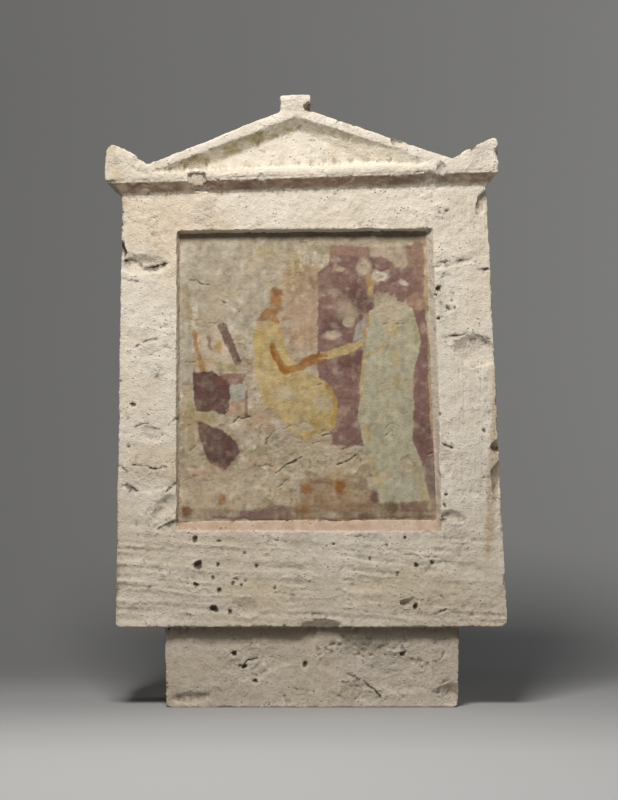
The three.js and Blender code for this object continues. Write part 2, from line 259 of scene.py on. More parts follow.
# Cracks and gouges in the picture ground: points, width, depth.
GROUND_CRACKS = (
    (((-137,506),(-129,507),(-123,500),(-117,499)),2.2,1.8), (((-106,483),(-95,479),(-81,471)),2.6,2.2),
    (((-139,461),(-120,458),(-97,452)),1.8,2.2), (((-85,519),(-78,532)),1.4,1.0),
    (((-68,515),(-59,513)),1.4,1.0), (((-20,509),(-10,513)),1.4,1.0), (((-93,493),(-88,494),(-81,492)),1.2,0.8),
    (((-142,409),(-131,409)),1.6,1.4), (((-80,410),(-65,405)),1.6,1.2), (((-13,433),(-8,438)),1.6,1.2),
    (((-88,338),(-81,345),(-69,345)),4.5,3.2), (((-120,271),(-106,271)),1.6,1.6),
    (((-155,261),(-143,268),(-127,273)),2.4,2.6), (((-41,325),(-29,331),(-20,336)),1.6,1.4),
    (((-50,303),(-47,313),(-39,326)),2.0,2.0), (((-55,284),(-41,288)),2.6,2.2),
    (((-35,279),(-22,290),(-5,297)),3.0,2.6), (((-34,259),(-22,268)),2.2,1.6), (((6,313),(17,316)),1.8,1.6),
    (((18,324),(29,326)),3.4,2.6), (((-34,357),(-26,360)),1.4,0.9), (((11,383),(15,386)),2.4,1.6),
    (((2,391),(11,389)),1.2,0.8), (((95,329),(100,336),(107,332)),2.6,1.8),
    (((95,320),(101,328),(103,315)),2.2,1.8), (((108,347),(117,348)),1.3,1.0), (((95,419),(100,428)),3.2,1.4),
    (((58,433),(67,436)),1.8,1.6), (((24,445),(38,447)),1.4,0.9), (((93,458),(108,460)),1.6,1.2),
    (((109,455),(118,453)),2.0,1.6), (((114,506),(121,504)),1.4,1.2), (((120,293),(131,294)),1.6,1.2),
    (((131,512),(138,513)),1.2,0.8), (((144,303),(152,305)),2.0,1.6), (((6,543),(11,551)),1.5,1.0),
    (((40,303),(54,310),(66,316)),2.0,1.6), (((36,287),(49,291),(58,299)),2.2,2.0),
    (((77,320),(82,310)),1.4,1.0), (((-140,307),(-131,316),(-123,317)),2.0,1.6),
    (((-136,287),(-121,284)),1.6,1.4),
)

# Cracks and crevices in the stone's front: points, width, depth.
STONE_CRACKS = (
    (((-212,527),(-200,529),(-190,524),(-178,522),(-167,525)),5.0,6.0),
    (((-215,509),(-202,507),(-190,505)),2.5,2.5), (((-215,547),(-210,535)),4.0,5.0),
    (((-172,480),(-162,479)),1.8,1.5), (((-173,451),(-165,450)),2.0,1.5),
    (((-199,429),(-191,434),(-180,439)),4.0,3.0), (((-182,393),(-169,407),(-161,418)),2.4,2.0),
    (((-202,333),(-194,337),(-186,336),(-179,329),(-167,321)),2.5,3.0), (((-162,335),(-153,345)),4.0,4.0),
    (((-206,287),(-186,285),(-176,282),(-164,284),(-152,287)),2.4,3.0), (((-222,291),(-213,280)),4.0,4.0),
    (((-222,265),(-212,263),(-200,257)),3.0,3.5), (((-164,260),(-150,266)),5.0,5.0),
    (((-176,211),(-166,217),(-153,224)),5.0,4.0), (((175,529),(190,530),(203,529)),2.0,2.5),
    (((150,519),(158,521),(171,521)),4.0,3.0), (((202,519),(213,521)),4.0,4.0),
    (((168,443),(185,443),(195,443),(216,438)),2.5,3.0), (((155,433),(163,439),(176,436)),2.4,1.6),
    (((144,512),(142,506)),2.0,3.0), (((191,607),(198,611),(208,610)),1.8,1.6),
    (((166,379),(176,376),(196,376)),1.4,1.0), (((159,315),(173,311)),3.0,3.0),
    (((161,224),(173,223),(186,223)),4.0,4.0), (((-181,159),(-174,162),(-167,156),(-160,154)),1.8,1.6),
    (((-97,174),(-72,174)),1.4,1.0), (((-36,140),(-11,137)),2.0,1.6), (((-11,156),(5,152),(18,146)),2.0,2.0),
    (((-54,173),(-36,192)),2.0,1.2), (((55,206),(75,202),(72,194)),2.6,2.5),
    (((115,182),(133,180),(157,176)),2.0,2.0), (((131,128),(178,125)),1.8,1.6), (((154,115),(177,124)),2.4,2.0),
    (((41,119),(76,116)),1.8,1.6), (((135,208),(146,209)),2.4,2.0), (((-30,675),(-36,657),(-43,644)),1.2,1.2),
    (((-75,601),(-84,592),(-89,583)),1.8,1.4), (((-98,597),(-90,595)),1.6,1.2), (((-88,604),(-82,606)),1.8,1.2),
    (((-68,604),(-60,606)),2.2,1.4), (((49,41),(67,31),(88,14)),4.0,3.5),
    (((149,57),(157,60),(163,68)),3.0,2.6), (((-78,50),(-66,57),(-53,62)),4.0,3.0),
    (((55,61),(68,58),(80,60)),3.0,2.0),
)

# Worm holes and pits in the front: x, z, radius.
STONE_PITS = (
    (157,494,3.5), (154,486,1.8), (170,482,2.1), (157,477,1.8), (164,472,2.7), (172,473,1.4), (155,459,2.1),
    (153,447,1.5), (149,601,1.4), (164,590,1.7), (157,587,1.4), (165,251,1.8), (164,239,1.8), (156,348,1.8),
    (208,329,2.1), (-133,201,3.1), (-142,205,1.4), (-103,198,2.1), (-102,214,1.8), (-127,168,4.0),
    (-103,168,2.1), (-111,156,1.9), (-132,148,2.7), (-85,152,1.9), (-76,151,1.4), (-87,146,1.9), (-80,146,1.7),
    (-104,140,2.8), (-110,120,4.0), (-93,116,2.6), (-73,181,1.5), (-47,217,1.4), (-38,143,1.9), (-57,170,2.4),
    (116,204,2.2), (96,194,2.0), (30,194,1.9), (76,178,1.5), (108,161,1.8), (129,169,2.4), (148,170,1.9),
    (160,135,1.5), (128,121,3.5), (-205,358,2.6), (-210,342,1.4), (-220,386,1.8), (-210,311,1.7), (-85,64,4.0),
    (-73,49,3.0), (116,66,3.0), (-1,51,3.5), (-62,30,3.0),
)

# Broken, bruised or eaten patches of the front: x, z, width, height, turn, depth.
STONE_PATCHES = (
    (-180,567,18,61,5,2.5), (-193,526,66,26,-3,3.5), (-185,426,38,24,30,2.0), (-175,406,17,24,30,1.5),
    (-185,325,38,19,-12,3.0), (-188,270,71,31,-4,3.0), (-173,229,40,33,40,3.0), (162,476,26,71,4,2.0),
    (183,524,59,12,6,3.0), (198,421,52,35,-8,5.0), (172,437,28,17,0,2.0), (166,293,21,45,6,2.5),
    (215,263,28,50,-6,3.0), (176,220,40,17,-6,3.0), (207,601,14,24,-35,3.0), (-190,135,33,19,35,2.5),
    (-70,118,38,38,-30,3.0), (-134,135,17,11,0,1.5), (140,162,52,28,-5,3.0), (123,122,31,28,-30,3.0),
    (164,116,28,12,10,2.0), (-120,583,35,59,-20,2.0), (157,591,26,26,0,1.2), (-128,20,56,18,4,2.5),
    (-64,52,88,46,12,3.5), (81,56,152,66,-14,4.5), (70,20,100,34,-6,3.5), (164,22,40,36,30,4.0),
    (-125,624,30,30,0,3.0), (-53,623,14,22,0,1.5), (136,626,26,18,0,2.5), (161,629,18,28,0,1.5),
    (31,686,36,14,-20,1.5), (105,667,14,10,0,2.0), (2,709,12,12,0,2.0), (-215,642,30,40,0,1.8),
    (209,653,36,34,0,1.6), (-14,715,34,20,0,1.2), (-231,616,20,22,30,3.0),
)

# Old and new fillings, and stains, on the stone: hex colour, x, z, half width, half height, turn, strength.
STONE_STAINS = (
    ("f1e9da", -53, 623, 8, 11, 10, 0.8),
    ("f1e9da", 31, 686, 9, 17, -35, 0.8),
    ("cfccc2", 161, 629, 9, 13, 0, 0.7),
    ("ebe3d3", 13, 660, 17, 10, 30, 0.5),
    ("e9dcc4", 120, 634, 14, 8, 0, 0.6),
    ("b99b6c", -222, 600, 9, 40, 0, 0.5),
    ("b99b6c", -229, 300, 6, 190, 1, 0.45),
    ("a98a5c", 221, 300, 7, 150, -3, 0.5),
    ("a58b66", -232, 655, 10, 20, 0, 0.4),
    ("c7b491", -60, 135, 40, 20, 0, 0.35),
    ("c2ad86", 120, 140, 70, 30, 0, 0.3),
    ("d9c09f", -150, 560, 70, 60, 0, 0.45),
    ("e0d6c8", 190, 560, 50, 60, 0, 0.4),
    ("c9ab84", -178, 290, 40, 25, 0, 0.35),
    ("b5a488", 20, 225, 170, 5, 0, 0.2),
)


def linear(channel):
    """One sRGB channel from 0 to 1 as linear light."""
    return channel / 12.92 if channel <= 0.04045 else ((channel + 0.055) / 1.055) ** 2.4


def colour(code):
    """A hex sRGB colour as three linear numbers."""
    return tuple(linear(int(code[i:i + 2], 16) / 255) for i in (0, 2, 4))


# Fields over the surface, worked out on arrays of points in millimetres.

def ramp(value, low, high):
    """0 below low and 1 above high, with a soft step between."""
    part = np.clip((value - low) / (high - low), 0, 1)
    return part * part * (3 - 2 * part)


def lumps(points, size, seed):
    """Smooth noise from -1 to 1 whose lumps are about size across."""
    table = np.random.default_rng(seed).uniform(-1, 1, (64, 64, 64)).astype(np.float32)
    cell = points / size + seed * 3.17
    low = np.floor(cell).astype(np.int32)
    part = (cell - low).astype(np.float32)
    part = part * part * (3 - 2 * part)
    low &= 63
    high = (low + 1) & 63
    total = 0
    for i in (0, 1):
        wx = part[:, 0] if i else 1 - part[:, 0]
        ix = high[:, 0] if i else low[:, 0]
        for j in (0, 1):
            wy = part[:, 1] if j else 1 - part[:, 1]
            iy = high[:, 1] if j else low[:, 1]
            for k in (0, 1):
                wz = part[:, 2] if k else 1 - part[:, 2]
                iz = high[:, 2] if k else low[:, 2]
                total = total + wx * wy * wz * table[ix, iy, iz]
    return total


def rough(points, size, seed, layers=3):
    """Noise from about -1 to 1 with finer lumps laid on coarse ones."""
    total, weight = 0, 0
    for k in range(layers):
        share = 0.55 ** k
        total = total + share * lumps(points, size / 2 ** k, seed + k)
        weight += share
    return total / weight * 1.5


def along(x, z, points):
    """How far each place is from a run of straight pieces."""
    best = np.full(x.shape, 1e6)
    for (x0, z0), (x1, z1) in zip(points, points[1:]):
        dx, dz = x1 - x0, z1 - z0
        part = np.clip(((x - x0) * dx + (z - z0) * dz) / (dx * dx + dz * dz), 0, 1)
        best = np.minimum(best, np.hypot(x - x0 - part * dx, z - z0 - part * dz))
    return best


def along_side(x, z, points):
    """How far each place is from a run of pieces, and whether it lies over the run."""
    best, above = np.full(x.shape, 1e6), np.zeros(x.shape, bool)
    for (x0, z0), (x1, z1) in zip(points, points[1:]):
        if x1 < x0:
            x0, z0, x1, z1 = x1, z1, x0, z0
        dx, dz = x1 - x0, z1 - z0
        part = np.clip(((x - x0) * dx + (z - z0) * dz) / (dx * dx + dz * dz), 0, 1)
        reach = np.hypot(x - x0 - part * dx, z - z0 - part * dz)
        nearer = reach < best
        best = np.where(nearer, reach, best)
        above = np.where(nearer, dx * (z - z0) - dz * (x - x0) > 0, above)
    return best, above


def within(x, z, outline):
    """How far each place is from a closed outline, below zero inside it."""
    ring = tuple(outline) + (outline[0],)
    inside = np.zeros(x.shape, bool)
    for (x0, z0), (x1, z1) in zip(ring, ring[1:]):
        if z0 != z1:
            inside ^= ((z0 > z) != (z1 > z)) & (x < (x1 - x0) * (z - z0) / (z1 - z0) + x0)
    reach = along(x, z, ring)
    return np.where(inside, -reach, reach)


def oval(x, z, middle_x, middle_z, half_x, half_z, turn):
    """0 at the middle of a turned oval and 1 on its edge."""
    angle = math.radians(turn)
    dx, dz = x - middle_x, z - middle_z
    return np.hypot((dx * math.cos(angle) + dz * math.sin(angle)) / half_x,
                    (dz * math.cos(angle) - dx * math.sin(angle)) / half_z)


def crack_depth(x, z, flat, cracks, lip):
    """Depth of the cracks: an undercut edge above, and a broken lip that runs out below it."""
    depth = np.zeros(x.shape)
    gape = 0.55 + 0.6 * rough(flat, 11, 21)
    chewed = 0.75 + 0.5 * rough(flat, 4, 25, 2)
    for points, width, deep in cracks:
        reach = width * (1 + lip) + 3
        xs, zs = [p[0] for p in points], [p[1] for p in points]
        near = np.flatnonzero((x > min(xs) - reach) & (x < max(xs) + reach)
                              & (z > min(zs) - reach) & (z < max(zs) + reach))
        if near.size:
            away, above = along_side(x[near], z[near], points)
            wide = width * np.clip(gape[near], 0.15, 1.3)
            taper = np.where(above, 0.3 + 0.3 * wide, 0.4 + lip * wide)
            part = np.clip(1 - away / taper, 0, 1)
            gap = deep * np.clip(gape[near] * 1.5, 0.3, 1.2) * part ** np.where(above, 0.5, 1.2)
            depth[near] = np.maximum(depth[near], gap * np.where(above, 1, chewed[near]))
    return depth


def pit_depth(x, z):
    """Depth of the worm holes at each place."""
    depth = np.zeros(x.shape)
    for px, pz, radius in STONE_PITS:
        near = np.flatnonzero((abs(x - px) < radius * 1.5) & (abs(z - pz) < radius * 1.5))
        if near.size:
            reach = np.hypot(x[near] - px, z[near] - pz) / (radius + 0.4)
            depth[near] = np.maximum(depth[near], radius * 1.6 * np.sqrt(np.clip(1 - reach ** 2, 0, 1)))
    return depth


def patch_cover(x, z, points, patches):
    """How far broken patches cover each place, and how deep they are there."""
    cover, deep = np.zeros(x.shape), np.zeros(x.shape)
    ragged = 0.5 * rough(points, 17, 71, 4)
    for px, pz, width, height, turn, depth in patches:
        reach = max(width, height) * 0.9
        near = np.flatnonzero((abs(x - px) < reach) & (abs(z - pz) < reach))
        if near.size:
            reach = oval(x[near], z[near], px, pz, width / 2, height / 2, turn) + ragged[near]
            here = 1 - ramp(reach, 0.5, 1.05)
            cover[near] = np.maximum(cover[near], here)
            deep[near] = np.maximum(deep[near], here * depth)
    return cover, deep


def strayed(flat, seed):
    """Places shifted a little to and fro, so that drawn lines and outlines turn ragged."""
    x, z = flat[:, 0], flat[:, 2]
    for size, reach in ((19, 3.2), (7, 1.4), (3, 0.6)):
        x = x + reach * lumps(flat, size, seed + size)
        z = z + reach * lumps(flat, size, seed + size + 40)
    return x, z


def rubble(flat, size, seed):
    """Broken stone from 0 to about 1.5: lumps, small steps and sharp creases."""
    crumble = 0.5 + 0.5 * np.clip(1.4 * rough(flat, size, seed, 4), -1, 1)
    steps = np.round(crumble * 3.4 + 0.5 * lumps(flat, size / 4, seed + 5)) / 3.4
    return 0.4 * crumble + 0.6 * steps + 0.55 * np.abs(rough(flat, size / 2.2, seed + 6, 3))


def front_cut(points):
    """How deep the front is cut back at each place by patches, cracks and pits, and its cracks alone."""
    flat = points * (1, 0, 1)
    x, z = strayed(flat, 11)
    cover, deep = patch_cover(x, z, flat, STONE_PATCHES)
    broken = 1.3 * deep * rubble(flat, 14, 31)
    cracks = np.maximum(crack_depth(x, z, flat, STONE_CRACKS, 1.6), pit_depth(x, z))
    return broken + cracks, cracks, cover


# Meshes.

def coordinates(mesh):
    flat = np.empty(len(mesh.vertices) * 3, np.float32)
    mesh.vertices.foreach_get("co", flat)
    return flat.reshape(-1, 3).astype(float) / MM


def set_coordinates(mesh, points):
    mesh.vertices.foreach_set("co", (points * MM).astype(np.float32).ravel())
    mesh.update()


def normals_of(mesh):
    flat = np.empty(len(mesh.vertices) * 3, np.float32)
    mesh.vertex_normals.foreach_get("vector", flat)
    return flat.reshape(-1, 3).astype(float)


def edges_of(mesh):
    flat = np.empty(len(mesh.edges) * 2, np.int32)
    mesh.edges.foreach_get("vertices", flat)
    return flat.reshape(-1, 2)


def neighbour_mean(values, edges, count):
    """The mean of each vertex's neighbours."""
    total = np.zeros(values.shape)
    for column in range(values.shape[1]):
        total[:, column] = (np.bincount(edges[:, 0], values[edges[:, 1], column], len(values))
                            + np.bincount(edges[:, 1], values[edges[:, 0], column], len(values)))
    return total / count[:, None]


def neighbour_count(edges, length):
    return np.maximum(np.bincount(edges.ravel(), minlength=length), 1).astype(float)


def unit(vectors):
    return vectors / np.maximum(np.linalg.norm(vectors, axis=1), 1e-9)[:, None]


def set_attribute(mesh, name, values):
    """A number, or a colour, for each vertex."""
    if values.ndim == 1:
        layer = mesh.attributes.new(name, "FLOAT", "POINT")
        layer.data.foreach_set("value", values.astype(np.float32))
    else:
        layer = mesh.attributes.new(name, "FLOAT_COLOR", "POINT")
        rgba = np.concatenate([np.clip(values, 0, 1), np.ones((len(values), 1))], axis=1)
        layer.data.foreach_set("color", rgba.astype(np.float32).ravel())


def new_object(name, mesh):
    """An object at the origin that carries mesh."""
    thing = bpy.data.objects.new(name, mesh)
    bpy.context.scene.collection.objects.link(thing)
    return thing


def drop(thing):
    mesh = thing.data
    bpy.data.objects.remove(thing)
    bpy.data.meshes.remove(mesh)


def baked(thing, name):
    """A plain mesh of what the modifiers make; the first object goes."""
    bpy.context.view_layer.update()
    result = bpy.data.meshes.new_from_object(thing.evaluated_get(bpy.context.evaluated_depsgraph_get()))
    result.name = name
    drop(thing)
    return result


def finish_piece(name, mesh, material):
    """Makes the piece of the scene and gives it its place on the stele."""
    mesh.materials.clear()
    mesh.materials.append(material)
    mesh.shade_smooth()
    piece = new_object(name, mesh)
    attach(piece, "root")
    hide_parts("stele")
    return piece


# Nodes.

def add(tree, kind, inputs=None, **settings):
    """Adds a node, with its settings, and its inputs as values or as sockets to join."""
    node = tree.nodes.new(kind)
    for key, value in settings.items():
        setattr(node, key, value)
    for key, value in (inputs or {}).items():
        if isinstance(value, bpy.types.NodeSocket):
            tree.links.new(value, node.inputs[key])
        else:
            node.inputs[key].default_value = value
    return node


def maths(tree, operation, *values):
    """The result of one sum on numbers or sockets."""
    return add(tree, "ShaderNodeMath", dict(enumerate(values)), operation=operation).outputs[0]


def tool_mark_tree():
    """Geometry nodes that press rows of claw and drag marks into the front of the stone."""
    tree = bpy.data.node_groups.new("tool_marks", "GeometryNodeTree")
    face = tree.interface
    face.new_socket("Geometry", in_out="INPUT", socket_type="NodeSocketGeometry")
    for name, default in (("Furrow spacing", 0.0072), ("Furrow depth", 0.0026), ("Furrow fall", 0.065),
                          ("Comb spacing", 0.0042), ("Comb depth", 0.0011), ("Wander", 0.012)):
        face.new_socket(name, in_out="INPUT", socket_type="NodeSocketFloat").default_value = default
    face.new_socket("Seed", in_out="INPUT", socket_type="NodeSocketFloat").default_value = 4.0
    face.new_socket("Stone", in_out="INPUT", socket_type="NodeSocketMaterial")
    face.new_socket("Geometry", in_out="OUTPUT", socket_type="NodeSocketGeometry")
    given = add(tree, "NodeGroupInput").outputs
    place = add(tree, "ShaderNodeSeparateXYZ",
                {"Vector": add(tree, "GeometryNodeInputPosition").outputs[0]}).outputs
    where = add(tree, "GeometryNodeInputPosition").outputs[0]

    def row(line, run, spacing, depth, mask, comb):
        """Depth of one set of marks: streaks drawn out along run, with a share of an even comb."""
        streak = add(tree, "ShaderNodeCombineXYZ", {
            "X": maths(tree, "DIVIDE", maths(tree, "MULTIPLY", run, 0.07), spacing),
            "Z": maths(tree, "DIVIDE", line, spacing)}).outputs[0]
        noise = add(tree, "ShaderNodeTexNoise", {"Vector": streak, "W": given["Seed"], "Scale": 0.9, "Detail": 4.0},
                    noise_dimensions="4D").outputs[0]
        gouge = add(tree, "ShaderNodeMapRange", {"Value": noise, "From Min": 0.36, "From Max": 0.64}).outputs[0]
        turn = maths(tree, "MULTIPLY", maths(tree, "DIVIDE", line, spacing), 2 * math.pi)
        wave = maths(tree, "MULTIPLY_ADD", maths(tree, "SINE", turn), 0.5, 0.5)
        both = maths(tree, "MULTIPLY_ADD", wave, comb, maths(tree, "MULTIPLY", gouge, 1 - comb))
        allowed = add(tree, "GeometryNodeInputNamedAttribute", {"Name": mask}, data_type="FLOAT").outputs[0]
        return maths(tree, "MULTIPLY", maths(tree, "MULTIPLY", both, depth), allowed)

    noise = add(tree, "ShaderNodeTexNoise", {"Vector": where, "W": given["Seed"], "Scale": 9.0},
                noise_dimensions="4D").outputs[0]
    stray = maths(tree, "MULTIPLY", maths(tree, "SUBTRACT", noise, 0.5), given["Wander"])
    fall = maths(tree, "ADD", maths(tree, "MULTIPLY_ADD", place["X"], given["Furrow fall"], place["Z"]), stray)
    furrows = row(fall, place["X"], given["Furrow spacing"], given["Furrow depth"], "tooled", 0.12)
    combs = row(maths(tree, "ADD", place["X"], stray), place["Z"], given["Comb spacing"], given["Comb depth"],
                "combed", 0.3)
    inward = add(tree, "ShaderNodeVectorMath",
                 {0: add(tree, "GeometryNodeInputNormal").outputs[0],
                  "Scale": maths(tree, "MULTIPLY", maths(tree, "ADD", furrows, combs), -1.0)},
                 operation="SCALE").outputs[0]
    marked = add(tree, "GeometryNodeSetPosition", {"Geometry": given["Geometry"], "Offset": inward}).outputs[0]
    whole = add(tree, "GeometryNodeRealizeInstances", {"Geometry": marked}).outputs[0]
    faced = add(tree, "GeometryNodeSetMaterial", {"Geometry": whole, "Material": given["Stone"]}).outputs[0]
    add(tree, "NodeGroupOutput", {"Geometry": faced})
    return tree


def stone_base(name, roughness):
    """A matte stone shader that starts from the tint attribute, in object coordinates."""
    material = bpy.data.materials.new(name)
    material.use_nodes = True
    tree = material.node_tree
    tree.nodes.clear()
    surface = add(tree, "ShaderNodeBsdfPrincipled", {"Roughness": roughness, "Specular IOR Level": 0.2})
    add(tree, "ShaderNodeOutputMaterial", {"Surface": surface.outputs[0]})
    place = add(tree, "ShaderNodeTexCoord").outputs["Object"]
    return material, tree, surface, place


def field(tree, place, scale, detail=3.0, roughness=0.6, stretch=None):
    """Noise from 0 to 1 with lumps of 1 / scale metres; stretch squeezes the pattern along the axes."""
    if stretch:
        place = add(tree, "ShaderNodeMapping", {"Vector": place, "Scale": stretch}).outputs[0]
    return add(tree, "ShaderNodeTexNoise",
               {"Vector": place, "Scale": scale, "Detail": detail, "Roughness": roughness}).outputs[0]


def between(tree, value, low, high, bottom=0.0, top=1.0):
    return add(tree, "ShaderNodeMapRange",
               {"Value": value, "From Min": low, "From Max": high, "To Min": bottom, "To Max": top}).outputs[0]


def mixed(tree, share, first, second, blend="MIX"):
    """Two colours mixed; a share may be a number or a socket."""
    node = add(tree, "ShaderNodeMix", data_type="RGBA", blend_type=blend)
    for socket, value in ((node.inputs[0], share), (node.inputs[6], first), (node.inputs[7], second)):
        if isinstance(value, bpy.types.NodeSocket):
            tree.links.new(value, socket)
        else:
            socket.default_value = value
    return node.outputs[2]


def grey(value):
    return (value, value, value, 1.0)


def limestone_material():
    """Cream limestone: chalky grain, small pores, soft stains, brown dirt and painted shade in the hollows."""
    material, tree, surface, place = stone_base("limestone", 0.92)
    tint = add(tree, "ShaderNodeAttribute", attribute_name="tint").outputs["Color"]
    hollow = add(tree, "ShaderNodeAttribute", attribute_name="hollow").outputs["Fac"]
    combed = add(tree, "ShaderNodeAttribute", attribute_name="combed").outputs["Fac"]
    rubble = add(tree, "ShaderNodeAttribute", attribute_name="rubble").outputs["Fac"]
    coarse = field(tree, place, 55.0, 4.0, 0.65)
    fine = field(tree, place, 420.0, 3.0, 0.7)
    streaks = field(tree, place, 300.0, 2.0, 0.6, (1.0, 1.0, 0.06))
    pores = add(tree, "ShaderNodeTexVoronoi", {"Vector": place, "Scale": 210.0}).outputs["Distance"]
    pore = between(tree, pores, 0.12, 0.24, 1.0, 0.0)
    # The eye reads the stone by its uneven cream, a few millimetres across, and by dark pores.
    shade = mixed(tree, 1.0, tint, add(tree, "ShaderNodeCombineColor", {
        "Red": between(tree, coarse, 0.25, 0.75, 0.88, 1.07),
        "Green": between(tree, coarse, 0.25, 0.75, 0.87, 1.07),
        "Blue": between(tree, coarse, 0.25, 0.75, 0.84, 1.08)}).outputs[0], "MULTIPLY")
    shade = mixed(tree, between(tree, fine, 0.3, 0.7, 0.0, 0.16), shade, colour("8d7a60") + (1.0,))
    sparse = maths(tree, "MULTIPLY", pore, between(tree, coarse, 0.5, 0.62, 0.0, 0.55))
    shade = mixed(tree, sparse, shade, colour("6d5c48") + (1.0,))
    # Painted shade, partly dirt: the hollow attribute darkens cracks, pits and hollows to brown.
    shade = mixed(tree, between(tree, hollow, 0.0, 1.0, 0.0, 0.85), shade, colour("4a3d30") + (1.0,))
    tree.links.new(shade, surface.inputs["Base Color"])
    height = maths(tree, "MULTIPLY_ADD", fine, 0.5, maths(tree, "MULTIPLY", coarse, 1.6))
    height = maths(tree, "SUBTRACT", height, maths(tree, "MULTIPLY", sparse, 0.9))
    height = maths(tree, "MULTIPLY_ADD", streaks, maths(tree, "MULTIPLY", combed, 0.7), height)
    crumbs = field(tree, place, 230.0, 4.0, 0.75)
    height = maths(tree, "MULTIPLY_ADD", crumbs, maths(tree, "MULTIPLY", rubble, 1.2), height)
    bump = add(tree, "ShaderNodeBump", {"Strength": 1.0, "Distance": 0.0022, "Height": height})
    tree.links.new(bump.outputs[0], surface.inputs["Normal"])
    return material


def painted_material():
    """Old paint on a thin lime ground: matte pigments, flecked where the paint has come away, dark with dirt and
    painted shade in its cracks.
    """
    material, tree, surface, place = stone_base("painted_lime", 0.88)
    tint = add(tree, "ShaderNodeAttribute", attribute_name="tint").outputs["Color"]
    hollow = add(tree, "ShaderNodeAttribute", attribute_name="hollow").outputs["Fac"]
    loss = add(tree, "ShaderNodeAttribute", attribute_name="loss").outputs["Fac"]
    coarse = field(tree, place, 90.0, 4.0, 0.65)
    fine = field(tree, place, 520.0, 3.0, 0.75)
    # The eye reads the painting by its broad soft areas and by pale flecks of bare ground.
    shade = mixed(tree, 1.0, tint, add(tree, "ShaderNodeCombineColor", {
        "Red": between(tree, coarse, 0.25, 0.75, 0.86, 1.1),
        "Green": between(tree, coarse, 0.25, 0.75, 0.85, 1.1),
        "Blue": between(tree, coarse, 0.25, 0.75, 0.83, 1.1)}).outputs[0], "MULTIPLY")
    flecks = maths(tree, "MULTIPLY_ADD", loss, 0.55, maths(tree, "MULTIPLY_ADD", fine, 0.7, -0.12))
    bare = between(tree, flecks, 0.46, 0.62)
    shade = mixed(tree, maths(tree, "MULTIPLY", bare, 0.75), shade, colour("c6b69c") + (1.0,))
    shade = mixed(tree, between(tree, fine, 0.35, 0.7, 0.0, 0.12), shade, colour("5a4a38") + (1.0,))
    # Painted shade, partly dirt: the hollow attribute darkens the cracks and deep losses.
    shade = mixed(tree, between(tree, hollow, 0.0, 1.0, 0.0, 0.85), shade, colour("40352a") + (1.0,))
    tree.links.new(shade, surface.inputs["Base Color"])
    height = maths(tree, "MULTIPLY_ADD", fine, 0.5, maths(tree, "MULTIPLY", coarse, 1.0))
    height = maths(tree, "MULTIPLY_ADD", bare, -0.25, height)
    bump = add(tree, "ShaderNodeBump", {"Strength": 1.0, "Distance": 0.0018, "Height": height})
    tree.links.new(bump.outputs[0], surface.inputs["Normal"])
    return material


# The stone.

def inside_box(points):
    """Points held inside the solid's box."""
    low, high = (np.array(corner) / MM for corner in CAD_BOX)
    return np.clip(points, low + 0.02, high - 0.02)


def above_cornice(points):
    """Height over the foot of the cornice, which climbs to the right."""
    return points[:, 2] - CORNICE_FOOT - points[:, 0] * CORNICE_CLIMB


def shape_stone(mesh, look):
    """Wears the edges, roughens the faces and cuts the front's damage into a fine copy of the solid."""
    points = coordinates(mesh)
    edges = edges_of(mesh)
    count = neighbour_count(edges, len(points))
    facing = normals_of(mesh)
    for _ in range(2):
        facing = unit(facing + neighbour_mean(facing, edges, count))
    soft, softer = points, None
    for turn in range(WIDE_PASSES):
        soft = 0.35 * soft + 0.65 * neighbour_mean(soft, edges, count)
        if turn == FINE_PASSES - 1:
            softer = soft
    fine, wide = softer - points, soft - points
    inward = np.sum(fine * facing, axis=1) < 0
    bite = np.clip(0.35 + 1.0 * rough(points, 12, 41), 0.05, 1.5) * look.edge_wear
    chips = ramp(rough(points, 21, 44, 4), 0.42, 0.62) * look.edge_wear
    points = points + fine * (bite * inward)[:, None] + wide * (chips * inward)[:, None]

    front = ramp(-facing[:, 1], 0.35, 0.8)
    depth = 0.5 * (1 + lumps(points, 70, 51)) * 0.6 + 0.5 * (1 + lumps(points, 22, 52)) * 0.5
    depth += np.abs(rough(points, 11, 53, 4)) * 1.0 + np.abs(rough(points, 4.5, 58, 2)) * 0.45
    depth += ramp(rough(points, 30, 56, 4), 0.42, 0.52) * 1.1 * (0.4 + np.abs(rough(points, 6, 57)))
    depth += (1 - front) * (0.5 * (1 + rough(points, 34, 54)) * 1.3)
    low = ramp(-points[:, 2], -8, -2)
    points = points - facing * (np.clip(depth, 0, None) * (1 - low))[:, None]

    cut, _, _ = front_cut(points)
    x, y, z = points.T
    below = z < CORNICE_FOOT - 1
    plane = np.where(z < TENON_TOP, TENON_FRONT, SLAB_FRONT)
    y = np.where(below, np.maximum(y, np.where(cut > 0.05, plane + cut, -1e6)), y)
    head = (~below & (y < FRONT_SKIN))[:, None] * 0.7 * cut[:, None] * facing
    x, y, z = x - head[:, 0], y - head[:, 1], z - head[:, 2]
    floor = (within(x, z, PICTURE_FLOOR) < 0.6) & (y < FLOOR_FRONT + 3) & (y > FLOOR_FRONT - 1.6)
    y = np.where(floor, y + PLATE_SINK, y)
    set_coordinates(mesh, inside_box(np.stack([x, y, z], axis=1)))


